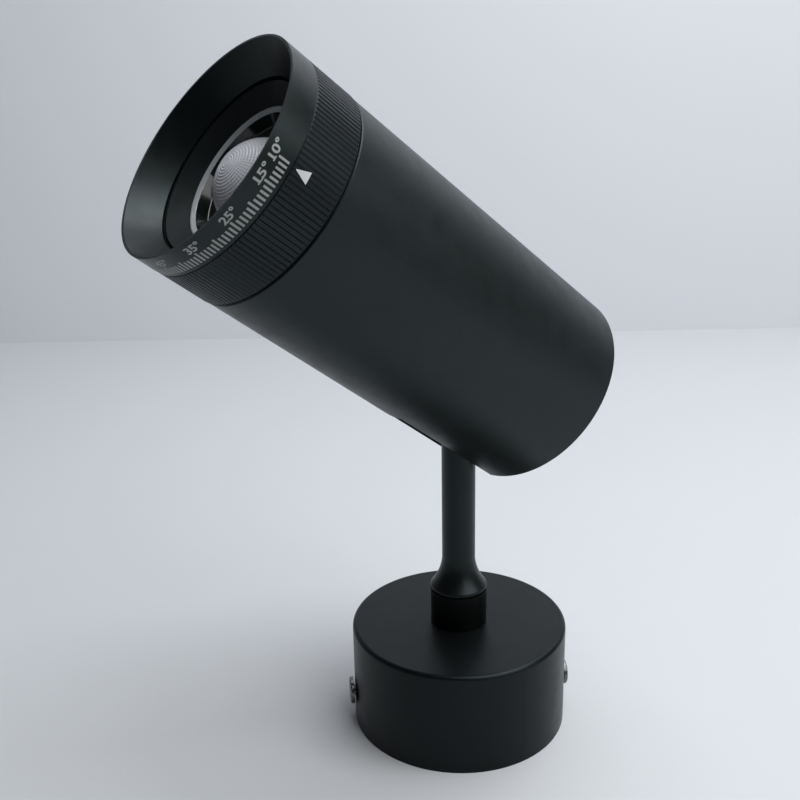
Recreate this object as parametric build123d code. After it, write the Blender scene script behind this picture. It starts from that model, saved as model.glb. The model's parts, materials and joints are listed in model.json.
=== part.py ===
from build123d import *
from math import cos, radians, sin
import os

# Surface-mounted spotlight with a zoom lens. Millimetres, +Z up the stem.
# Row origin: centre of the canopy's mounting face. The head tilts about an X axis.
# Head parts are drawn about +Z, the beam direction, with the tilt axle at the origin.

os.makedirs("parts", exist_ok=True)

# canopy
CANOPY_R = 40.0
CANOPY_H = 39.0
CANOPY_WALL = 1.8
CANOPY_TOP = 2.0
CANOPY_EDGE = 1.5
BRACKET_ANGLE = 64.5
BRACKET_HALF = 37.0
BRACKET_WIDTH = 16.0
BRACKET_THICK = 1.5
BRACKET_EAR_TOP = 18.0
FIXING_PCD = 50.0
FIXING_HOLE_R = 2.25
EARTH_X = -18.5
EARTH_R = 1.5
SIDE_SCREW_Z = 12.0
SIDE_SCREW_R = 2.0
SIDE_HEAD_R = 5.0
SIDE_HEAD_LOW = 0.6
SIDE_HEAD_TOP = 2.0

# driver inside the canopy
DRIVER_WIDTH = 30.0
DRIVER_LENGTH = 54.0
DRIVER_LOW = 2.5
DRIVER_TOP = 16.5
TERMINAL_TOP = 26.5
TERMINAL_Y = -20.0
TERMINAL_HOLE_Z = 19.3
TERMINAL_R = 1.6
TERMINALS = (-7, 0, 7)

# stem and swivel
STEM_R = 6.1
STEM_BORE = 4.1
FOOT_R = 10.5
COLLAR_TOP = 52.6
FOOT_TOP = 64.6
STEM_LOW = 20.0
TAIL_R = 8.0
TAIL_LOW = 30.0
BUSH_WALL = 0.8
COLLAR_NUT_LOW = 33.0
COLLAR_NUT_TOP = 36.5
STOP_LOW = 25.0
STOP_TOP = 29.6
STOP_R = 12.0
RUN = 0.05

# tilt axle
PIVOT_Z = 150.7
TILT = 52.2
AXLE_R = 3.0
KNUCKLE_R = 8.0
KNUCKLE_HALF = 6.0
KNUCKLE_FOOT = 9.0
EAR_IN = 7.05
EAR_OUT = 10.05
NUT_OUT = 14.0

# head, distances along the beam from the axle
HEAD_R = 37.0
TUBE_R = 36.8
TUBE_BORE = 34.3
FRONT = 112.4
SCALE_BACK = 103.1
RING_FRONT = 103.0
RING_BACK = 86.35
TUBE_FRONT = 85.6
EDGE_BREAK = 0.3
RIDGES = 144
RIDGE_DEPTH = 0.3
RIDGE_HALF = 0.28
REAR = -40.5
CAP_FACE = -39.9
CAP_BACK = -37.4
SLOT_HALF = 6.6
BULKHEAD = 13.0
SINK_LOW = 16.0
LED_Z = 62.0
POST_R = 28.0
POST_ANGLES = (90, 200, 340)
SINK_SCREW_R = 24.0
SINK_ANGLES = (45, 165, 285)
BARREL_SCREW_R = 29.0
BARREL_ANGLES = (30, 150, 270)
HOLDER_SCREW_X = 12.5
SMALL_SCREW_R = 1.2
SCREW_R = 1.5
BOARD_HALF = 9.5
FINS = 16

# zoom: the ring turns, three pins in helical grooves draw the lens back
BARREL_R = 33.4
BARREL_BORE = 31.4
RING_BORE = BARREL_R + RUN
CARRIER_R = BARREL_BORE - RUN
ZOOM_ANGLE = 111.5
ZOOM_TRAVEL = 12.0
PIN_R = 1.25
PIN_GAP = 0.08
PIN_Z = 100.2
PIN_REAR = PIN_Z - ZOOM_TRAVEL
GROOVE_R = 35.1
PIN_ANGLES = (40, 160, 280)
CARRIER_BORE = 29.4
FLANGE_LOW = 96.1
FLANGE_TOP = 97.9
LENS_REAR = 84.6
LENS_EDGE = 98.4
DOME_R = 15.5
DOME_Z = 88.4
DOME_EDGE = 15.0

BOTTOM = (Align.CENTER, Align.CENTER, Align.MIN)
HEAD = Pos(0, 0, PIVOT_Z) * Rot(TILT, 0, 0)
BRACKET = Rot(0, 0, BRACKET_ANGLE)


def rod(radius, low, high):
    return Pos(0, 0, low) * Cylinder(radius, high - low, align=BOTTOM)


def ring(outer, inner, low, high):
    return rod(outer, low, high) - rod(inner, low, high)


def block(size_x, size_y, low, high):
    return Pos(0, 0, low) * Box(size_x, size_y, high - low, align=BOTTOM)


def turned(*points):
    """A closed outline of (radius, height) points turned about Z."""
    return revolve(Plane.XZ * make_face(Polyline(*points, close=True)), Axis.Z)


def around(radius, angle):
    return Pos(radius * cos(radians(angle)), radius * sin(radians(angle)), 0)


def radial(angle, height):
    """Turns a shape drawn along +Z to point outwards at an angle and height."""
    return Pos(0, 0, height) * Rot(0, 0, angle) * Rot(0, 90, 0)


def across(shape):
    """Turns a shape drawn along +Z to lie along +X."""
    return Rot(0, 90, 0) * shape


def save(node, *solids, place=Pos(0, 0, 0)):
    placed = [place * solid for solid in solids]
    whole = placed[0]
    if len(placed) > 1:
        whole = Compound(children=placed)
    whole.label = node
    export_step(whole, f"parts/{node}.step")


# ---------------- canopy ----------------


def canopy_shell():
    body = rod(CANOPY_R, 0, CANOPY_H)
    body = fillet(body.edges().group_by(Axis.Z)[-1], CANOPY_EDGE)
    body -= rod(CANOPY_R - CANOPY_WALL, 0, CANOPY_H - CANOPY_TOP)
    body -= rod(TAIL_R, TAIL_LOW, CANOPY_H)
    for side in (0, 180):
        body -= radial(BRACKET_ANGLE + side, SIDE_SCREW_Z) * rod(SIDE_SCREW_R + 0.2, 30, 45)
    return body


def mounting_bracket():
    """Flat bar with two holes for the wall screws and an upturned ear at each end."""
    bar = block(2 * BRACKET_HALF, BRACKET_WIDTH, 0, BRACKET_THICK)
    for side in (-1, 1):
        ear = block(BRACKET_THICK, BRACKET_WIDTH - 2, 0, BRACKET_EAR_TOP)
        bar += Pos(side * (BRACKET_HALF - BRACKET_THICK / 2), 0, 0) * ear
        bar -= Pos(side * FIXING_PCD / 2, 0, 0) * rod(FIXING_HOLE_R, -1, 3)
        bar -= radial(90 - 90 * side, SIDE_SCREW_Z) * rod(SIDE_SCREW_R, 30, 45)
    bar -= Pos(EARTH_X, 0, 0) * rod(EARTH_R, -1, 3)
    return bar


def side_screw(angle):
    """Low slotted disc on a threaded shank."""
    low = CANOPY_R + SIDE_HEAD_LOW
    top = CANOPY_R + SIDE_HEAD_TOP
    head = rod(SIDE_HEAD_R, low, top)
    head = chamfer(head.edges().group_by(Axis.Z)[-1], 0.4)
    head -= block(7.0, 1.0, top - 0.6, top + 1)
    shank = rod(SIDE_SCREW_R, BRACKET_HALF - 3.5, low)
    return radial(angle, SIDE_SCREW_Z) * (shank + head)


def driver_case():
    case = block(DRIVER_WIDTH, DRIVER_LENGTH, DRIVER_LOW, DRIVER_TOP)
    return fillet(case.edges().filter_by(Axis.Z), 2.0)


def terminal_block():
    body = block(22, 12, DRIVER_TOP, TERMINAL_TOP)
    for x in TERMINALS:
        body -= Pos(x, 0, 0) * rod(TERMINAL_R, TERMINAL_TOP - 4.5, TERMINAL_TOP + 1)
        body -= Pos(x, 8, TERMINAL_HOLE_Z) * Rot(90, 0, 0) * Cylinder(1.2, 8)
    return Pos(0, TERMINAL_Y, 0) * body


def terminal_screw(x):
    top = TERMINAL_TOP - 0.5
    screw = rod(TERMINAL_R, TERMINAL_TOP - 4.5, top) - block(4, 0.5, top - 0.6, top + 1)
    return Pos(x, TERMINAL_Y, 0) * screw


def lead(radius, bend, *points):
    """A short wire along straight runs joined by tangent arcs."""
    path = FilletPolyline(*points, radius=bend)
    return sweep(Plane(origin=path @ 0, z_dir=path % 0) * Circle(radius), path=path)


def driver_lead(x):
    """Out of the end of the driver, round in a U and into the side of the terminal block."""
    end = -DRIVER_LENGTH / 2
    return lead(0.9, 4.4, (x, end, 12), (x, end - 6.5, 12), (x, end - 6.5, 21), (x, TERMINAL_Y - 6, 21))


def earth_screw():
    return Pos(EARTH_X, 0, 0) * (rod(EARTH_R, 0, BRACKET_THICK) + rod(2.3, BRACKET_THICK, 3.5))


def swivel_collar():
    """Short turned collar with a threaded tail that goes through the canopy."""
    body = rod(FOOT_R - 0.1, CANOPY_H, COLLAR_TOP)
    body += rod(TAIL_R - RUN, TAIL_LOW, CANOPY_H)
    body -= rod(STEM_R + BUSH_WALL, TAIL_LOW - 1, COLLAR_TOP + 1)
    return body


def swivel_bush(low, high):
    return ring(STEM_R + BUSH_WALL, STEM_R + RUN, low, high)


def collar_nut():
    nut = extrude(RegularPolygon(11.0, 6), COLLAR_NUT_TOP - COLLAR_NUT_LOW)
    return Pos(0, 0, COLLAR_NUT_LOW) * nut - rod(TAIL_R - RUN, TAIL_LOW, CANOPY_H)


def stop_peg():
    return around(STOP_R, 90) * rod(1.5, STOP_LOW - 1, CANOPY_H - CANOPY_TOP)


# ---------------- stem ----------------


def stem_tube():
    """Plain tube with a window at the back of its top, where the leads come out."""
    top = PIVOT_Z - KNUCKLE_FOOT
    tube = ring(STEM_R, STEM_BORE, STEM_LOW, top)
    window = Pos(0, 5, top - 10) * Rot(-90, 0, 0) * Cylinder(2.6, 8)
    return tube - window


def stem_knuckle():
    """Solid eye that carries the axle, with a plug that fits in the tube."""
    body = Pos(0, 0, PIVOT_Z) * across(Cylinder(KNUCKLE_R, 2 * KNUCKLE_HALF))
    body += rod(STEM_R, PIVOT_Z - KNUCKLE_FOOT, PIVOT_Z)
    body &= Pos(0, 0, PIVOT_Z) * Box(2 * KNUCKLE_HALF, 40, 40)
    body += rod(STEM_BORE, PIVOT_Z - KNUCKLE_FOOT - 5, PIVOT_Z - KNUCKLE_FOOT)
    body -= Pos(0, 0, PIVOT_Z) * across(Cylinder(AXLE_R + RUN, 30))
    return body


def stem_foot():
    """Trumpet that widens from the tube to the collar's own width."""
    low = COLLAR_TOP + 0.1
    outline = Line((STEM_R, low), (FOOT_R - 0.7, low))
    outline += Line((FOOT_R - 0.7, low), (FOOT_R, low + 0.7))
    outline += Line((FOOT_R, low + 0.7), (FOOT_R, low + 1.1))
    outline += ThreePointArc((FOOT_R, low + 1.1), (FOOT_R - 0.1, low + 1.6), (FOOT_R - 0.45, low + 2.1))
    outline += ThreePointArc((FOOT_R - 0.45, low + 2.1), (7.35, low + 6.8), (STEM_R + 0.02, FOOT_TOP))
    outline += Line((STEM_R + 0.02, FOOT_TOP), (STEM_R, FOOT_TOP))
    outline += Line((STEM_R, FOOT_TOP), (STEM_R, low))
    return revolve(Plane.XZ * make_face(outline), Axis.Z)


def stop_collar():
    """Collar whose lug meets the stop peg before the leads wind up."""
    body = rod(9.0, STOP_LOW, STOP_TOP)
    body += around(STOP_R - 1.5, -90) * block(3.0, 5.0, STOP_LOW, STOP_TOP)
    return body - rod(STEM_R, STOP_LOW - 1, STOP_TOP + 1)


def stem_nut():
    return Pos(0, 0, STEM_LOW + 1) * extrude(RegularPolygon(9.0, 6), 3.6) - rod(STEM_R, STEM_LOW, STOP_LOW)


# ---------------- head housing ----------------


def body_tube():
    """Plain tube, slotted at the back so that the head can fold onto the stem."""
    tube = chamfer(rod(TUBE_R, REAR, TUBE_FRONT).edges().filter_by(GeomType.CIRCLE), EDGE_BREAK)
    tube -= rod(TUBE_BORE, REAR - 1, TUBE_FRONT + 1)
    slot_front = SLOT_HALF + 1.0
    slot = Box(2 * SLOT_HALF, 20, slot_front - REAR + 1, align=(Align.CENTER, Align.CENTER, Align.MAX))
    return tube - Pos(0, -TUBE_R, slot_front) * slot


def rear_cap():
    plate = rod(TUBE_BORE - RUN, CAP_FACE, CAP_BACK)
    slot = rod(SLOT_HALF, REAR - 1, CAP_BACK + 1)
    slot += Pos(0, -20, 0) * block(2 * SLOT_HALF, 40, REAR - 1, CAP_BACK + 1)
    plate -= slot
    for angle in POST_ANGLES:
        plate -= around(POST_R, angle) * rod(SCREW_R + 0.1, CAP_FACE - 1, CAP_BACK + 1)
        plate -= around(POST_R, angle) * Pos(0, 0, CAP_FACE) * Cone(3.0, SCREW_R + 0.1, 1.4, align=BOTTOM)
    return plate


def cap_screw(angle):
    """Countersunk screw with a hexagon socket."""
    screw = Pos(0, 0, CAP_FACE + 0.1) * Cone(2.9, SCREW_R, 1.4, align=BOTTOM)
    screw += rod(SCREW_R, CAP_FACE + 1.5, CAP_BACK + 6)
    screw -= Pos(0, 0, CAP_FACE) * extrude(RegularPolygon(1.0, 6), 1.0)
    return around(POST_R, angle) * screw


def spacer_post(angle):
    post = rod(3.0, CAP_BACK, BULKHEAD) - rod(SCREW_R, CAP_BACK - 1, CAP_BACK + 6)
    return around(POST_R, angle) * post


def pivot_bracket():
    """Bulkhead disc with two ears that hold the axle."""
    body = rod(TUBE_BORE - RUN, BULKHEAD, SINK_LOW)
    middle = (EAR_IN + EAR_OUT) / 2
    for side in (-1, 1):
        ear = across(Cylinder(KNUCKLE_R, EAR_OUT - EAR_IN))
        ear += Box(EAR_OUT - EAR_IN, 2 * KNUCKLE_R, BULKHEAD, align=BOTTOM)
        body += Pos(side * middle, 0, 0) * ear
    body -= across(Cylinder(AXLE_R, 30))
    body -= around(20, 90) * rod(4.0, BULKHEAD - 1, SINK_LOW + 1)
    for angle in SINK_ANGLES:
        body -= around(SINK_SCREW_R, angle) * rod(2.0, BULKHEAD - 1, SINK_LOW + 1)
    return body


def pivot_bolt():
    """Socket-head bolt that the head tilts on."""
    head = rod(5.0, EAR_OUT, EAR_OUT + 3.0) - Pos(0, 0, EAR_OUT + 1.2) * extrude(RegularPolygon(2.2, 6), 3)
    return across(rod(AXLE_R, -NUT_OUT - 0.5, EAR_OUT) + head)


def pivot_nut():
    return across(Pos(0, 0, -NUT_OUT) * extrude(RegularPolygon(5.5, 6), 3.2) - rod(AXLE_R, -15, -10))


def spring_washer():
    return across(ring(5.2, AXLE_R, -EAR_OUT - 0.7, -EAR_OUT))


def friction_washer(side):
    washer = ring(7.5, AXLE_R, KNUCKLE_HALF + RUN, EAR_IN)
    return Rot(0, 90 * side, 0) * washer


# ---------------- light source ----------------


def heat_sink():
    """Base plate with a core and straight radial fins."""
    body = rod(TUBE_BORE - 0.1, 55, LED_Z) + rod(9.0, SINK_LOW, 55)
    for index in range(FINS):
        fin = Pos(20.5, 0, 0) * block(24, 1.6, 20, 56)
        body += Rot(0, 0, index * 360 / FINS + 7.5) * fin
    for angle in SINK_ANGLES:
        body += around(SINK_SCREW_R, angle) * rod(3.2, SINK_LOW, 56)
        body -= around(SINK_SCREW_R, angle) * rod(SCREW_R, SINK_LOW - 1, SINK_LOW + 9)
    for angle in BARREL_ANGLES:
        body -= around(BARREL_SCREW_R, angle) * rod(SMALL_SCREW_R, LED_Z - 5, LED_Z + 1)
    for side in (-1, 1):
        body -= Pos(side * HOLDER_SCREW_X, 0, 0) * rod(SMALL_SCREW_R, LED_Z - 5, LED_Z + 1)
    return body - around(24, 90) * rod(2.5, 50, LED_Z + 1)


def sink_screw(angle):
    screw = rod(SCREW_R, SINK_LOW, SINK_LOW + 8) + rod(1.9, BULKHEAD, SINK_LOW)
    screw += rod(2.9, BULKHEAD - 2.2, BULKHEAD)
    return around(SINK_SCREW_R, angle) * screw


def thermal_pad():
    return block(2 * BOARD_HALF, 2 * BOARD_HALF, LED_Z, LED_Z + 0.4)


def led_board():
    return block(2 * BOARD_HALF, 2 * BOARD_HALF, LED_Z + 0.4, LED_Z + 1.6)


def led_emitter():
    return rod(4.5, LED_Z + 1.6, LED_Z + 2.1)


def led_holder():
    """Round clamp that holds the board down and centres it."""
    body = rod(17.0, LED_Z, LED_Z + 3.4)
    body -= block(2 * BOARD_HALF + 0.2, 2 * BOARD_HALF + 0.2, LED_Z - 1, LED_Z + 1.65)
    body -= Pos(0, 0, LED_Z + 1.6) * Cone(5.2, 8.0, 2.0, align=BOTTOM)
    for side in (-1, 1):
        body -= Pos(side * HOLDER_SCREW_X, 0, 0) * rod(SMALL_SCREW_R + 0.1, LED_Z - 1, LED_Z + 4)
    return body


def holder_screw(side):
    screw = rod(SMALL_SCREW_R, LED_Z - 4.5, LED_Z + 3.4) + rod(2.2, LED_Z + 3.4, LED_Z + 4.8)
    screw -= block(6, 0.6, LED_Z + 4.2, LED_Z + 5)
    return Pos(side * HOLDER_SCREW_X, 0, 0) * screw


def led_lead(x):
    """From the board holder into the hole in the heat sink's base."""
    return lead(0.8, 3.4, (x, 17.0, LED_Z + 1.6), (x, 24.0, LED_Z + 1.6), (x, 24.0, LED_Z - 5))


# ---------------- zoom optics ----------------


def inner_barrel():
    """Fixed sleeve: the ring turns on its outside and the lens carrier slides inside."""
    body = rod(TUBE_BORE, LED_Z, TUBE_FRONT) + rod(35.8, TUBE_FRONT, TUBE_FRONT + 0.35)
    body += rod(BARREL_R, TUBE_FRONT, SCALE_BACK + 1.8)
    body -= rod(BARREL_BORE, LED_Z + 3.0, FRONT)
    body -= rod(26.0, LED_Z - 1, LED_Z + 4)
    for angle in BARREL_ANGLES:
        body -= around(BARREL_SCREW_R, angle) * rod(SMALL_SCREW_R + 0.1, LED_Z - 1, LED_Z + 4)
    for angle in PIN_ANGLES:
        slot = Box(8, 2 * (PIN_R + RUN), ZOOM_TRAVEL, align=BOTTOM)
        body -= Rot(0, 0, angle) * Pos(32.5, 0, PIN_REAR) * slot
        for height in (PIN_REAR, PIN_Z):
            body -= radial(angle, height) * rod(PIN_R + RUN, 28.5, 36.5)
    return body


def barrel_screw(angle):
    screw = rod(SMALL_SCREW_R, LED_Z - 4.5, LED_Z + 3.0) + rod(2.0, LED_Z + 3.0, LED_Z + 4.4)
    return around(BARREL_SCREW_R, angle) * screw


def thrust_washer():
    return ring(35.6, RING_BORE + 0.1, TUBE_FRONT + 0.35, RING_BACK - 0.02)


def scale_ring():
    """Front hood: a plain outside for the scale, a cone inside."""
    body = rod(HEAD_R, SCALE_BACK, FRONT)
    body = chamfer(body.edges().group_by(Axis.Z)[0], EDGE_BREAK / 2)
    body -= turned((0, SCALE_BACK - 1), (29.5, SCALE_BACK - 1), (29.5, SCALE_BACK + 0.3),
                   (36.2, FRONT - 0.2), (36.4, FRONT + 1), (0, FRONT + 1))
    body -= ring(BARREL_R, BARREL_BORE, SCALE_BACK - 1, SCALE_BACK + 1.8)
    return body


def helical_run():
    """The sloping part of a guide pin's groove, for a pin at angle 0."""
    path = Helix(pitch=ZOOM_TRAVEL * 360 / ZOOM_ANGLE, height=ZOOM_TRAVEL,
                 radius=(RING_BORE + GROOVE_R) / 2 - 0.4, lefthand=True)
    outline = Rectangle(GROOVE_R - RING_BORE + 0.8, 2 * (PIN_R + PIN_GAP))
    run = sweep(Plane(origin=path @ 0, x_dir=(1, 0, 0), z_dir=path % 0) * outline, path=path, is_frenet=True)
    return Pos(0, 0, PIN_REAR) * Rot(0, 0, ZOOM_ANGLE) * run


def groove_cuts(angle):
    """A guide pin's groove: its run, its two round ends and the way in from behind."""
    rear_angle = angle + ZOOM_ANGLE
    entry = Pos(33.0, 0, PIN_REAR - 5) * Box(2 * (GROOVE_R - 33.0), 2 * PIN_R + 0.5, 5, align=BOTTOM)
    return [
        Rot(0, 0, angle) * helical_run(),
        radial(angle, PIN_Z) * rod(PIN_R + PIN_GAP, 31, GROOVE_R),
        radial(rear_angle, PIN_REAR) * rod(PIN_R + 2 * PIN_GAP, 31, GROOVE_R),
        Rot(0, 0, rear_angle) * entry,
    ]


def ridged_outline():
    """Flat-topped ridges with V grooves between them."""
    points = []
    pitch = 360 / RIDGES
    for index in range(RIDGES):
        for radius, share in ((HEAD_R, -RIDGE_HALF), (HEAD_R, RIDGE_HALF), (HEAD_R - RIDGE_DEPTH, 0.5)):
            angle = radians((index + share) * pitch)
            points.append((radius * cos(angle), radius * sin(angle)))
    return make_face(Polyline(*points, close=True))


def knurled_ring():
    body = Pos(0, 0, RING_BACK) * extrude(ridged_outline(), RING_FRONT - RING_BACK)
    body &= turned((0, RING_BACK), (HEAD_R - EDGE_BREAK, RING_BACK), (HEAD_R, RING_BACK + EDGE_BREAK),
                   (HEAD_R, RING_FRONT - EDGE_BREAK), (HEAD_R - EDGE_BREAK, RING_FRONT), (0, RING_FRONT))
    body -= rod(RING_BORE, RING_BACK - 1, RING_FRONT + 1)
    for angle in PIN_ANGLES:
        for cut in groove_cuts(angle):
            body -= cut
    return body


def lens_carrier():
    """Sleeve with a ledge that the lens rests on."""
    body = ring(CARRIER_R, CARRIER_BORE, LENS_REAR - 0.6, 102.7)
    body += ring(30.0, 26.5, FLANGE_LOW - 2.6, FLANGE_LOW - 0.6)
    for angle in PIN_ANGLES:
        body -= radial(angle, PIN_Z) * rod(PIN_R, 28, 33)
    return body


def guide_pin(angle):
    return radial(angle, PIN_Z) * rod(PIN_R, CARRIER_BORE + RUN, GROOVE_R - 0.2)


def lens_gasket():
    return ring(CARRIER_BORE - 0.1, 27.0, FLANGE_LOW - 0.6, FLANGE_LOW)


def zoom_lens():
    """Clear moulding: flat flange, polished rim, moat and a domed middle."""
    dome_foot = DOME_Z + (DOME_R ** 2 - DOME_EDGE ** 2) ** 0.5
    flange_r = CARRIER_BORE - 0.2
    body = turned((0, LENS_REAR), (20.0, LENS_REAR), (25.0, FLANGE_LOW), (flange_r, FLANGE_LOW),
                  (flange_r, FLANGE_TOP), (22.0, FLANGE_TOP), (20.5, 93.2), (DOME_EDGE, dome_foot),
                  (0, dome_foot))
    dome = Pos(0, 0, DOME_Z) * Sphere(DOME_R) & rod(20.0, dome_foot, FRONT)
    return body + dome - Pos(0, 0, LENS_REAR) * Sphere(8.0)


def lens_trim_ring():
    """Cone round the lens, cut back at its outer edge so that a dark line shows beside the hood."""
    outer = CARRIER_BORE - RUN
    back = FLANGE_TOP + RUN
    return turned((outer, back), (outer, 101.5), (28.75, 101.8), (28.65, 102.7), (28.45, 102.7),
                  (23.0, LENS_EDGE), (23.0, back))


# ---------------- write every node ----------------

save("canopy_shell", canopy_shell())
save("mounting_bracket", mounting_bracket(), place=BRACKET)
save("side_thumb_screws", side_screw(BRACKET_ANGLE), side_screw(BRACKET_ANGLE + 180))
save("driver_pad", block(26, 14, BRACKET_THICK, DRIVER_LOW), place=BRACKET)
save("driver_case", driver_case(), place=BRACKET)
save("terminal_block", terminal_block(), place=BRACKET)
save("terminal_screws", *[terminal_screw(x) for x in TERMINALS], place=BRACKET)
save("driver_leads", *[driver_lead(x) for x in TERMINALS], place=BRACKET)
save("earth_screw", earth_screw(), place=BRACKET)
save("swivel_collar", swivel_collar())
save("swivel_bushes", swivel_bush(TAIL_LOW + 1, TAIL_LOW + 7), swivel_bush(46, COLLAR_TOP))
save("collar_washer", ring(10.3, TAIL_R - RUN, COLLAR_NUT_TOP, CANOPY_H - CANOPY_TOP))
save("wave_washer", ring(7.9, STEM_R + 0.2, STOP_TOP + RUN, TAIL_LOW))
save("collar_nut", collar_nut())
save("stop_peg", stop_peg())

save("stem_tube", stem_tube())
save("stem_foot", stem_foot())
save("stem_knuckle", stem_knuckle())
save("stop_collar", stop_collar())
save("stem_nut", stem_nut())
save("stem_washer", ring(9.0, STEM_R, STOP_LOW - 0.4, STOP_LOW))

save("body_tube", body_tube(), place=HEAD)
save("rear_cap", rear_cap(), place=HEAD)
save("rear_cap_screws", *[cap_screw(angle) for angle in POST_ANGLES], place=HEAD)
save("spacer_posts", *[spacer_post(angle) for angle in POST_ANGLES], place=HEAD)
save("pivot_bracket", pivot_bracket(), place=HEAD)
save("pivot_bolt", pivot_bolt(), place=HEAD)
save("pivot_nut", pivot_nut(), place=HEAD)
save("spring_washer", spring_washer(), place=HEAD)
save("friction_washers", friction_washer(1), friction_washer(-1), place=HEAD)
save("heat_sink", heat_sink(), place=HEAD)
save("heat_sink_screws", *[sink_screw(angle) for angle in SINK_ANGLES], place=HEAD)
save("thermal_pad", thermal_pad(), place=HEAD)
save("led_board", led_board(), place=HEAD)
save("led_emitter", led_emitter(), place=HEAD)
save("led_holder", led_holder(), place=HEAD)
save("led_holder_screws", holder_screw(-1), holder_screw(1), place=HEAD)
save("led_leads", led_lead(-1.1), led_lead(1.1), place=HEAD)
save("inner_barrel", inner_barrel(), place=HEAD)
save("barrel_screws", *[barrel_screw(angle) for angle in BARREL_ANGLES], place=HEAD)
save("thrust_washer", thrust_washer(), place=HEAD)
save("scale_ring", scale_ring(), place=HEAD)

save("knurled_ring", knurled_ring(), place=HEAD)

save("lens_carrier", lens_carrier(), place=HEAD)
save("guide_pins", *[guide_pin(angle) for angle in PIN_ANGLES], place=HEAD)
save("lens_gasket", lens_gasket(), place=HEAD)
save("zoom_lens", zoom_lens(), place=HEAD)
save("lens_trim_ring", lens_trim_ring(), place=HEAD)
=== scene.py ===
import bmesh
import bpy
import json
from math import atan2, cos, pi, radians, sin
from mathutils import Matrix, Vector


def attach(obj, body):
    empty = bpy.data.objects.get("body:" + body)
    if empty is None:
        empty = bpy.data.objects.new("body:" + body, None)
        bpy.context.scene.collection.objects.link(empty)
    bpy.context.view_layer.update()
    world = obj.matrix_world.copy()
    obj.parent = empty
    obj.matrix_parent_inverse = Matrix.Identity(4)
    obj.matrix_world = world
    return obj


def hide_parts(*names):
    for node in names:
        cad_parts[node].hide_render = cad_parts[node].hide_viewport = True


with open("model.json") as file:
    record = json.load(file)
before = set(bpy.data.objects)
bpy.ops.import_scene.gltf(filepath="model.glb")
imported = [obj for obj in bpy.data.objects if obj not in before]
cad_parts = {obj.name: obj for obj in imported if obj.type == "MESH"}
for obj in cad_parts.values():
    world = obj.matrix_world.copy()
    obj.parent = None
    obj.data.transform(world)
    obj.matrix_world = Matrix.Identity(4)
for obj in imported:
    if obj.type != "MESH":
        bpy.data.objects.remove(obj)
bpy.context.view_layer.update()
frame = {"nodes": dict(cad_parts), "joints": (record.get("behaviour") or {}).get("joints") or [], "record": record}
print("frame loaded:", len(frame["nodes"]), "nodes")

mm = 0.001
joints = {joint["name"]: joint for joint in frame["joints"]}
pivot = Vector(joints["head_tilt"]["pos_m"])
beam = -Vector(joints["zoom_turn"]["axis"])
headTilt = atan2(-beam.y, beam.z)
# head pieces are drawn about +Z in millimetres, with the tilt axle at the origin
headPlace = Matrix.Translation(pivot) @ Matrix.Rotation(headTilt, 4, "X") @ Matrix.Scale(mm, 4)
frontFace = 112.4       # the hood's front edge, along the beam
headRadius = 37.0


# materials: each noise is its scale and its detail, and bump heights are in metres
def newMaterial(name):
    material = bpy.data.materials.new(name)
    material.use_nodes = True
    tree = material.node_tree
    return {
        "material": material,
        "nodes": tree.nodes,
        "links": tree.links,
        "shader": tree.nodes["Principled BSDF"],
        "coords": tree.nodes.new("ShaderNodeTexCoord"),
    }


noiseSpan = (0.3, 0.7)      # where most of a noise's values lie


def addNoise(kit, scale, detail):
    noise = kit["nodes"].new("ShaderNodeTexNoise")
    noise.inputs["Scale"].default_value = scale
    noise.inputs["Detail"].default_value = detail
    kit["links"].new(kit["coords"].outputs["Object"], noise.inputs["Vector"])
    return noise.outputs["Fac"]


def spreadNoise(kit, noise, low, high):
    spread = kit["nodes"].new("ShaderNodeMapRange")
    spread.inputs["From Min"].default_value = noiseSpan[0]
    spread.inputs["From Max"].default_value = noiseSpan[1]
    spread.inputs["To Min"].default_value = low
    spread.inputs["To Max"].default_value = high
    kit["links"].new(noise, spread.inputs["Value"])
    return spread.outputs["Result"]


def colourFrom(kit, noise, dark, light):
    mix = kit["nodes"].new("ShaderNodeMix")
    mix.data_type = "RGBA"
    mix.inputs["A"].default_value = (*dark, 1)
    mix.inputs["B"].default_value = (*light, 1)
    kit["links"].new(spreadNoise(kit, noise, 0, 1), mix.inputs["Factor"])
    kit["links"].new(mix.outputs["Result"], kit["shader"].inputs["Base Color"])


def roughnessFrom(kit, noise, low, high):
    kit["links"].new(spreadNoise(kit, noise, low, high), kit["shader"].inputs["Roughness"])


def bumpFrom(kit, noise, height):
    bump = kit["nodes"].new("ShaderNodeBump")
    bump.inputs["Strength"].default_value = 1
    bump.inputs["Distance"].default_value = height
    kit["links"].new(noise, bump.inputs["Height"])
    kit["links"].new(bump.outputs["Normal"], kit["shader"].inputs["Normal"])


powder = {
    "drift": (22, 3),
    "wear": (160, 4),
    "peel": (2600, 2),
    "peelHeight": 0.00002,
    "roughSpread": 0.04,
    "sheenTint": (0.80, 0.98, 1.0, 1),
}


def powderCoat(name, dark, light, roughness, specular):
    # fine powder coat: a slight orange peel, and a colour and gloss that drift a little over the part
    kit = newMaterial(name)
    colourFrom(kit, addNoise(kit, *powder["drift"]), dark, light)
    spread = powder["roughSpread"]
    roughnessFrom(kit, addNoise(kit, *powder["wear"]), roughness - spread, roughness + spread)
    bumpFrom(kit, addNoise(kit, *powder["peel"]), powder["peelHeight"])
    kit["shader"].inputs["Specular IOR Level"].default_value = specular
    kit["shader"].inputs["Specular Tint"].default_value = powder["sheenTint"]
    return kit["material"]


metal = {"marks": (900, 4), "markHeight": 0.000015, "smoother": 0.06, "rougher": 0.08}


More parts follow.
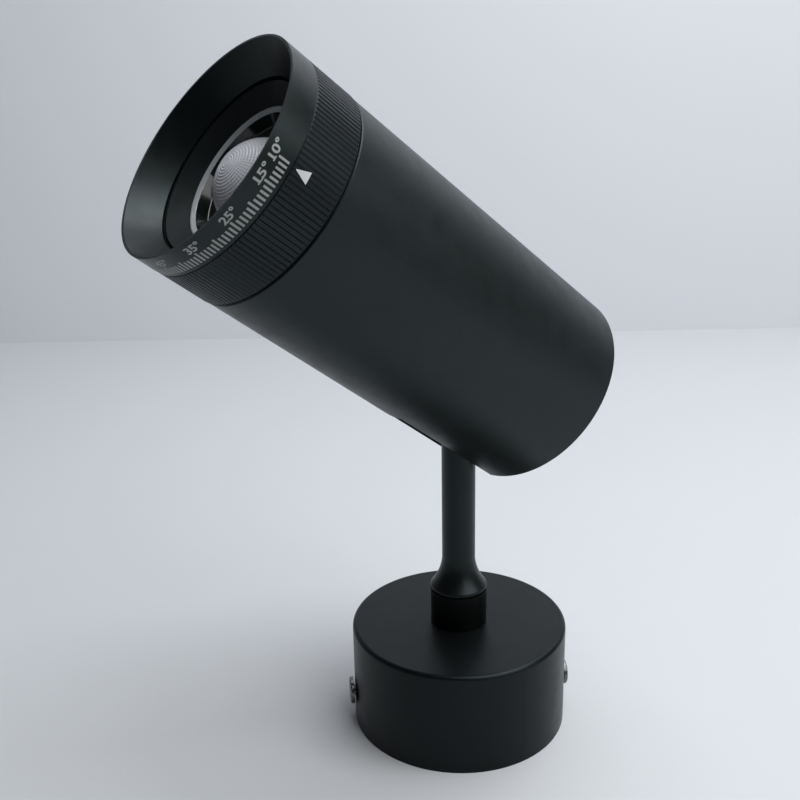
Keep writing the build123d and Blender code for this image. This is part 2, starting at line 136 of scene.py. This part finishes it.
def bareMetal(name, dark, light, roughness):
    # bare metal with fine marks in its colour, gloss and surface
    kit = newMaterial(name)
    marks = addNoise(kit, *metal["marks"])
    colourFrom(kit, marks, dark, light)
    roughnessFrom(kit, marks, roughness - metal["smoother"], roughness + metal["rougher"])
    bumpFrom(kit, marks, metal["markHeight"])
    kit["shader"].inputs["Metallic"].default_value = 1
    return kit["material"]


plastic = {"drift": (60, 3), "grainDetail": 2, "roughSpread": 0.05}


def mouldedPlastic(name, dark, light, roughness, grainScale=1200, grainHeight=0.00002):
    kit = newMaterial(name)
    colourFrom(kit, addNoise(kit, *plastic["drift"]), dark, light)
    grain = addNoise(kit, grainScale, plastic["grainDetail"])
    spread = plastic["roughSpread"]
    roughnessFrom(kit, grain, roughness - spread, roughness + spread)
    bumpFrom(kit, grain, grainHeight)
    return kit["material"]


optic = {"haze": (300, 3), "hazeDark": 0.94, "roughShare": 0.2, "index": 1.49}


def clearOptic(name, tint, roughness, transmission):
    # pressed optical plastic with a faint haze
    kit = newMaterial(name)
    haze = addNoise(kit, *optic["haze"])
    colourFrom(kit, haze, [value * optic["hazeDark"] for value in tint], tint)
    share = optic["roughShare"]
    roughnessFrom(kit, haze, roughness * (1 - share), roughness * (1 + share))
    kit["shader"].inputs["Transmission Weight"].default_value = transmission
    kit["shader"].inputs["IOR"].default_value = optic["index"]
    return kit["material"]


# the finish of each material slot in the record
finishes = {
    "black_steel": powderCoat(
        "canopyCoat", (0.0024, 0.0030, 0.0036), (0.0036, 0.0046, 0.0052), 0.35, 0.19),
    "black_aluminium": powderCoat(
        "headCoat", (0.0036, 0.0054, 0.0058), (0.0056, 0.0080, 0.0082), 0.42, 0.35),
    "zinc_steel": bareMetal("zincSteel", (0.42, 0.43, 0.45), (0.62, 0.63, 0.65), 0.34),
    "bare_aluminium": bareMetal("castAluminium", (0.55, 0.56, 0.57), (0.72, 0.73, 0.74), 0.42),
    "white_plastic": mouldedPlastic("whitePlastic", (0.70, 0.70, 0.67), (0.78, 0.78, 0.75), 0.5),
    "bush_plastic": mouldedPlastic("bushPlastic", (0.66, 0.64, 0.56), (0.74, 0.72, 0.64), 0.45),
    "foam_pad": mouldedPlastic("foamPad", (0.03, 0.03, 0.03), (0.06, 0.06, 0.06), 0.9, 700, 0.0002),
    "silicone": mouldedPlastic("silicone", (0.40, 0.42, 0.46), (0.50, 0.52, 0.56), 0.6),
    "wire_red": mouldedPlastic("wireSleeve", (0.36, 0.02, 0.015), (0.45, 0.03, 0.02), 0.4),
    "phosphor": mouldedPlastic("phosphor", (0.85, 0.60, 0.08), (0.92, 0.70, 0.12), 0.55, 2400),
    "brass_pin": bareMetal("brassPin", (0.55, 0.40, 0.15), (0.70, 0.52, 0.22), 0.3),
    "clear_lens": clearOptic("clearLens", (0.93, 0.95, 0.97), 0.03, 1.0),
}

# pieces whose coat differs a little from the rest of their slot; for the stem, the collar and the hood the
# difference is painted shade
# painted shade: the stem and its foot get a darker copy of the head's coat, standing in for the shade under the
# head
stemPaintedShadeCoat = powderCoat("stemPaintedShadeCoat", (0.0018, 0.0024, 0.0026), (0.0030, 0.0038, 0.0040), 0.38, 0.31)
innerCoat = powderCoat("innerCoat", (0.0050, 0.0060, 0.0064), (0.0070, 0.0080, 0.0084), 0.45, 0.35)
ownFinishAndPaintedShade = {
    # painted shade: the collar's coat is near black, standing in for the deep shade under the stem's flare
    "swivel_collar": powderCoat(
        "collarPaintedShadeCoat", (0.0012, 0.0014, 0.0014), (0.0018, 0.0020, 0.0020), 0.36, 0.15),
    # painted shade: the hood gets a darker copy of the head's coat so that its shaded inside stays dark
    "scale_ring": powderCoat(
        "hoodPaintedShadeCoat", (0.0010, 0.0016, 0.0018), (0.0018, 0.0026, 0.0028), 0.36, 0.38),
    "knurled_ring": powderCoat(
        "ringCoat", (0.0030, 0.0038, 0.0052), (0.0044, 0.0054, 0.0072), 0.42, 0.3),
    "stem_tube": stemPaintedShadeCoat,
    "stem_foot": stemPaintedShadeCoat,
    "lens_trim_ring": innerCoat,
    "lens_carrier": innerCoat,
    "side_thumb_screws": bareMetal("screwSteel", (0.10, 0.105, 0.11), (0.18, 0.185, 0.19), 0.26),
}
nodeSlots = {part["node"]: part["material_slot"] for part in frame["record"]["subparts"]}
for node, cadObject in frame["nodes"].items():
    finish = ownFinishAndPaintedShade.get(node, finishes[nodeSlots[node]])
    cadObject.data.materials.clear()
    cadObject.data.materials.append(finish)
print("materials set on", len(frame["nodes"]), "nodes")


def makePiece(name, mesh, body, slot, *materials):
    # the finished bmesh goes to its place on the head in its own vertices, and rides on a body
    mesh.transform(headPlace)
    data = bpy.data.meshes.new(name)
    mesh.to_mesh(data)
    mesh.free()
    piece = bpy.data.objects.new(name, data)
    bpy.context.scene.collection.objects.link(piece)
    for material in materials:
        data.materials.append(material)
    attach(piece, body)
    return piece


# the printed scale and its pointer are drawn flat, in millimetres, and then wrapped round the head
scale = {
    "firstDegree": 10,
    "lastDegree": 60,
    "ringAngle": 2.23,      # degrees of ring for one degree of beam
    "startAngle": 4.3,      # where the first tick stands
    "tickWidth": 0.68,
    "tickBack": frontFace - 8.1,
    "shortFront": frontFace - 5.25,
    "longFront": frontFace - 4.5,
    "longEvery": 5,
    "figures": [10, 15, 25, 35, 45, 60],
    "figureBase": frontFace - 4.1,
    "figureHeight": 2.7,
    "figureWidth": 5.5,
    "figureBold": 0.11,
    "figureLead": 2.5,      # degrees from the figure's left side to its tick
    "textSize": 4,      # before a number is fitted to its height and width
    "textCurves": 4,
    "weld": 0.001,
    "footZone": (1.65, 0.2),        # the first digit's lowest part, as width and height
    "footOut": 0.42,        # how far the foot of a 1 stands out on each side
    "footTall": 0.42,
    "footThick": 0.036,
    "inkHeight": 0.03,
    "inkGap": 0.01,     # keeps the ink clear of the coat
    "inkCuts": 2,
}


def inkPatch(corners, height, gap=scale["inkGap"]):
    # a thin closed patch, cut fine enough to bend; it is flattened once its faces point outwards
    mesh = bmesh.new()
    mesh.faces.new([mesh.verts.new((x, y, 0)) for x, y in corners])
    bmesh.ops.subdivide_edges(mesh, edges=mesh.edges, cuts=scale["inkCuts"], use_grid_fill=True)
    top = bmesh.ops.extrude_face_region(mesh, geom=mesh.faces[:])
    raised = [item for item in top["geom"] if isinstance(item, bmesh.types.BMVert)]
    bmesh.ops.translate(mesh, vec=(0, 0, 1), verts=raised)
    bmesh.ops.recalc_face_normals(mesh, faces=mesh.faces)
    bmesh.ops.scale(mesh, vec=(1, 1, height), verts=mesh.verts)
    bmesh.ops.translate(mesh, vec=(0, 0, gap), verts=mesh.verts)
    return mesh


def wrapRound(mesh, angle):
    # x becomes an arc round the head, y goes along the beam and z outwards
    for vert in mesh.verts:
        turn = vert.co.x / headRadius
        reach = headRadius + vert.co.z
        vert.co = Vector((reach * cos(turn), reach * sin(turn), vert.co.y))
    bmesh.ops.rotate(mesh, cent=(0, 0, 0), matrix=Matrix.Rotation(radians(angle), 3, "Z"), verts=mesh.verts)


def joinTo(target, mesh):
    data = bpy.data.meshes.new("part")
    mesh.to_mesh(data)
    mesh.free()
    target.from_mesh(data)
    bpy.data.meshes.remove(data)


def textMesh(text):
    curve = bpy.data.curves.new("figure", "FONT")
    curve.body = text
    curve.size = scale["textSize"]
    curve.extrude = scale["inkHeight"] / 2
    curve.offset = scale["figureBold"]
    curve.resolution_u = scale["textCurves"]
    holder = bpy.data.objects.new("figure", curve)
    bpy.context.scene.collection.objects.link(holder)
    data = bpy.data.meshes.new_from_object(holder)
    bpy.data.objects.remove(holder)
    bpy.data.curves.remove(curve)
    mesh = bmesh.new()
    mesh.from_mesh(data)
    bpy.data.meshes.remove(data)
    bmesh.ops.remove_doubles(mesh, verts=mesh.verts, dist=scale["weld"])
    bmesh.ops.recalc_face_normals(mesh, faces=mesh.faces)
    return mesh


def footPatch(mesh):
    # the foot under the number's first digit, a 1
    width, height = scale["footZone"]
    foot = [vert.co.x for vert in mesh.verts if vert.co.x < width and vert.co.y < height]
    left = min(foot) - scale["footOut"]
    right = max(foot) + scale["footOut"]
    top = scale["footTall"]
    return inkPatch([(left, 0), (right, 0), (right, top), (left, top)], scale["footThick"], 0)


def figureMesh(text):
    # the number is moved to the origin, fitted to its height and width, and set before the ticks
    mesh = textMesh(text)
    low = [min(vert.co[axis] for vert in mesh.verts) for axis in range(3)]
    high = [max(vert.co[axis] for vert in mesh.verts) for axis in range(3)]
    bmesh.ops.translate(mesh, vec=[-value for value in low], verts=mesh.verts)
    fit = (scale["figureWidth"] / (high[0] - low[0]), scale["figureHeight"] / (high[1] - low[1]), 1)
    bmesh.ops.scale(mesh, vec=fit, verts=mesh.verts)
    if text.startswith("1"):
        joinTo(mesh, footPatch(mesh))
    bmesh.ops.translate(mesh, vec=(0, scale["figureBase"], scale["inkGap"]), verts=mesh.verts)
    return mesh


def scalePrint():
    printInk = mouldedPlastic("printInk", (0.22, 0.23, 0.225), (0.31, 0.32, 0.31), 0.5, 3000)
    whole = bmesh.new()
    half = scale["tickWidth"] / 2
    back = scale["tickBack"]
    for degree in range(scale["firstDegree"], scale["lastDegree"] + 1):
        angle = scale["startAngle"] - (degree - scale["firstDegree"]) * scale["ringAngle"]
        front = scale["shortFront"] if degree % scale["longEvery"] else scale["longFront"]
        tick = inkPatch([(-half, back), (half, back), (half, front), (-half, front)], scale["inkHeight"])
        wrapRound(tick, angle)
        joinTo(whole, tick)
        if degree in scale["figures"]:
            figure = figureMesh(f"{degree}°")
            wrapRound(figure, angle - scale["figureLead"])
            joinTo(whole, figure)
    return makePiece("scalePrint", whole, "head", "black_aluminium", printInk)


pointer = {
    "angle": 4.15,
    "tip": frontFace - 10.6,
    "base": frontFace - 15.1,
    "halfWidth": 1.85,
    "tipHalf": 0.12,
}


def pointerPrint():
    pointerInk = mouldedPlastic("pointerInk", (0.50, 0.51, 0.52), (0.62, 0.63, 0.64), 0.45, 3000)
    tip = pointer["tip"]
    base = pointer["base"]
    half = pointer["halfWidth"]
    tipHalf = pointer["tipHalf"]
    mesh = inkPatch([(-half, base), (half, base), (tipHalf, tip), (-tipHalf, tip)], scale["inkHeight"])
    wrapRound(mesh, pointer["angle"])
    return makePiece("pointerPrint", mesh, "zoom_ring", "black_aluminium", pointerInk)


scalePrint()
pointerPrint()
print("scale and pointer printed")


# the zoom lens: pairs are a radius and a height along the beam, in millimetres
lens = {
    "back": 84.6,
    "hollowRadius": 8.0,        # the hollow over the lamp
    "hollowSteps": 8,
    "flange": [(20.0, 84.6), (25.0, 96.1), (29.2, 96.1), (29.2, 97.9)],
    "rim": [(23.3, 97.9), (22.9, 98.25), (22.5, 98.3), (22.1, 98.1), (21.9, 97.7), (21.6, 97.6),
            (21.4, 97.3)],
    "moat": [(20.7, 93.6), (20.3, 93.1)],
    "moatDeep": 2,
    "moatFoot": (0.2, 0.1),     # how far out and down the moat's floor starts from the dome's edge
    "domeRadius": 15.5,
    "domeCentre": 88.4,
    "domeEdge": 15.0,
    "rings": 21,
    "ringDepth": 0.17,
    "ringSteps": 5,
    "spokes": 54,
    "spokeDepth": 0.10,
    "spokeSteps": 6,
    "spokeFade": 1.5,       # the spokes reach their full depth at two thirds of the way out
    "axisGap": 0.01,        # the outline stops this far from the axis, and its two ends are filled
    "slack": 0.05,      # how near a point has to be to count as on the dome
    "weld": 0.0005,
}
domeCentre = Vector((0, 0, lens["domeCentre"]))
domeRise = (lens["domeRadius"] ** 2 - lens["domeEdge"] ** 2) ** 0.5
domeReach = atan2(lens["domeEdge"], domeRise)


def lensOutline():
    # from the middle of the hollow, out round the flange and the rim, and up over the dome
    hollow = lens["hollowRadius"]
    outline = [(lens["axisGap"], lens["back"] + hollow)]
    for step in range(1, lens["hollowSteps"] + 1):
        angle = step / lens["hollowSteps"] * pi / 2
        outline.append((hollow * sin(angle), lens["back"] + hollow * cos(angle)))
    outline += lens["flange"] + lens["rim"] + lens["moat"]
    out, down = lens["moatFoot"]
    outline.append((lens["domeEdge"] + out, lens["domeCentre"] + domeRise - down))
    steps = lens["rings"] * lens["ringSteps"]
    for step in range(steps, 0, -1):
        angle = step / steps * domeReach
        height = lens["domeCentre"] + lens["domeRadius"] * cos(angle)
        outline.append((lens["domeRadius"] * sin(angle), height))
    outline.append((lens["axisGap"], lens["domeCentre"] + lens["domeRadius"]))
    return outline


def spinOutline(outline, steps):
    mesh = bmesh.new()
    verts = [mesh.verts.new((radius, 0, height)) for radius, height in outline]
    edges = [mesh.edges.new((verts[i], verts[i + 1])) for i in range(len(verts) - 1)]
    bmesh.ops.spin(mesh, geom=verts + edges, cent=(0, 0, 0), axis=(0, 0, 1), angle=2 * pi, steps=steps,
                   use_merge=True)
    bmesh.ops.remove_doubles(mesh, verts=mesh.verts, dist=lens["weld"])
    bmesh.ops.holes_fill(mesh, edges=[edge for edge in mesh.edges if edge.is_boundary])
    bmesh.ops.recalc_face_normals(mesh, faces=mesh.faces)
    return mesh


def rippleDome(mesh):
    # presses the dome's rings and spokes in, square to its surface
    for vert in mesh.verts:
        away = vert.co - domeCentre
        flat = away.xy.length
        if away.length < lens["domeRadius"] - lens["slack"] or flat > lens["domeEdge"] + lens["slack"]:
            continue
        slope = atan2(flat, away.z) / domeReach
        ring = abs(sin(pi * slope * lens["rings"])) * lens["ringDepth"] * min(1, slope * lens["rings"])
        spoke = abs(sin(atan2(away.y, away.x) * lens["spokes"] / 2)) * lens["spokeDepth"]
        spoke *= min(1, slope * lens["spokeFade"])
        away.length = lens["domeRadius"] - lens["ringDepth"] + ring + spoke
        vert.co = domeCentre + away


def finishLens(mesh):
    # the material index of each face: 0 the clear body, 1 the dome, 2 the rim, 3 the moat
    domeDeep = lens["ringDepth"] + lens["slack"]
    rimOuter = lens["rim"][0][0]
    rimInner, rimLow = lens["rim"][-1]
    moatLow = lens["moat"][-1][1] - lens["moatDeep"]
    for face in mesh.faces:
        face.smooth = True
        middle = face.calc_center_median()
        flat = middle.xy.length
        deep = lens["domeRadius"] - (middle - domeCentre).length
        if flat < lens["domeEdge"] + lens["slack"] and deep < domeDeep:
            face.material_index = 1
        elif rimInner < flat < rimOuter and middle.z > rimLow:
            face.material_index = 2
        elif lens["domeEdge"] < flat < rimInner and middle.z > moatLow:
            face.material_index = 3


def zoomLens():
    mesh = spinOutline(lensOutline(), lens["spokes"] * lens["spokeSteps"])
    rippleDome(mesh)
    finishLens(mesh)
    domeOptic = clearOptic("domeOptic", (0.82, 0.84, 0.90), 0.16, 0.14)
    # painted reflection: the clear rim is given a light grey colour that stands in for the bright reflections
    # along its edge
    rimPaintedReflectionOptic = clearOptic("rimPaintedReflectionOptic", (0.66, 0.70, 0.74), 0.04, 0.35)
    # painted shade: the clear moat is given a near-black colour for the darkness seen in the groove between dome
    # and rim
    moatPaintedShadeOptic = clearOptic("moatPaintedShadeOptic", (0.010, 0.012, 0.012), 0.08, 0.05)
    piece = makePiece("zoomLens", mesh, "lens_carriage", "clear_lens", finishes["clear_lens"],
                      domeOptic, rimPaintedReflectionOptic, moatPaintedShadeOptic)
    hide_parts("zoom_lens")
    return piece


zoomLens()
print("lens pressed")


# camera, floor, wall and lights, in metres
camera = {
    "place": Vector((0.2883, -0.2099, 0.2470)),
    "view": Vector((-0.7966, 0.5125, -0.3207)),
    "lean": 0.0196,
    "lens": 48.1,
    "sensor": 36,
    "clipStart": 0.01,
}
ahead = Vector((camera["view"].x, camera["view"].y, 0)).normalized()
side = ahead.cross(Vector((0, 0, 1)))

stage = {
    "size": 3.0,
    "wallDistance": 0.55,
    "floorColour": (0.55, 0.57, 0.59),
    "wallColour": (0.72, 0.74, 0.78),
    "grain": (6, 3),
    "grainDark": 0.99,
    "roughness": 0.85,
}


def facing(place, direction, lean=0.0):
    # looks along a direction, with its top leaning a little to the right
    forward = direction.normalized()
    right = forward.cross(Vector((0, 0, 1))).normalized()
    top = (right.cross(forward) + right * lean).normalized()
    right = forward.cross(top)
    turn = Matrix((right, top, -forward)).transposed()
    return Matrix.Translation(place) @ turn.to_4x4()


def stageSheet(name, colour, place):
    kit = newMaterial(name + "Paint")
    colourFrom(kit, addNoise(kit, *stage["grain"]), [value * stage["grainDark"] for value in colour], colour)
    kit["shader"].inputs["Roughness"].default_value = stage["roughness"]
    mesh = bmesh.new()
    bmesh.ops.create_grid(mesh, x_segments=1, y_segments=1, size=stage["size"] / 2)
    mesh.transform(place)
    data = bpy.data.meshes.new(name)
    mesh.to_mesh(data)
    mesh.free()
    data.materials.append(kit["material"])
    sheet = bpy.data.objects.new(name, data)
    bpy.context.scene.collection.objects.link(sheet)


stageSheet("floor", stage["floorColour"], Matrix.Identity(4))
stageSheet("wall", stage["wallColour"], facing(ahead * stage["wallDistance"], ahead))

lightAim = Vector((0, 0, 0.13))
lights = {      # places are measured from the aim, and a light's size is its side
    "keyRight": {"side": 0.62, "ahead": -0.48, "up": 0.70, "size": 1.0, "watts": 8.5, "colour": (1, 1, 1)},
    "topSoft": {"side": 0.25, "ahead": 0.1, "up": 0.9, "size": 0.8, "watts": 10.0, "colour": (0.97, 0.98, 1)},
}
surround = {"colour": (0.93, 0.96, 1.0, 1), "strength": 0.05}


def addLight(name, light):
    data = bpy.data.lights.new(name, "AREA")
    data.shape = "SQUARE"
    data.size = light["size"]
    data.energy = light["watts"]
    data.color = light["colour"]
    place = lightAim + side * light["side"] + ahead * light["ahead"] + Vector((0, 0, light["up"]))
    lamp = bpy.data.objects.new(name, data)
    lamp.matrix_world = facing(place, lightAim - place)
    bpy.context.scene.collection.objects.link(lamp)


for name, light in lights.items():
    addLight(name, light)

world = bpy.data.worlds.new("studio")
bpy.context.scene.world = world
world.use_nodes = True
background = world.node_tree.nodes["Background"]
background.inputs["Color"].default_value = surround["colour"]
background.inputs["Strength"].default_value = surround["strength"]

cameraData = bpy.data.cameras.new("camera")
cameraData.lens = camera["lens"]
cameraData.sensor_width = camera["sensor"]
cameraData.clip_start = camera["clipStart"]
cameraObject = bpy.data.objects.new("camera", cameraData)
cameraObject.matrix_world = facing(camera["place"], camera["view"], camera["lean"])
bpy.context.scene.collection.objects.link(cameraObject)
bpy.context.scene.camera = cameraObject
bpy.context.scene.view_settings.view_transform = "Standard"
print("stage, lights and camera ready")
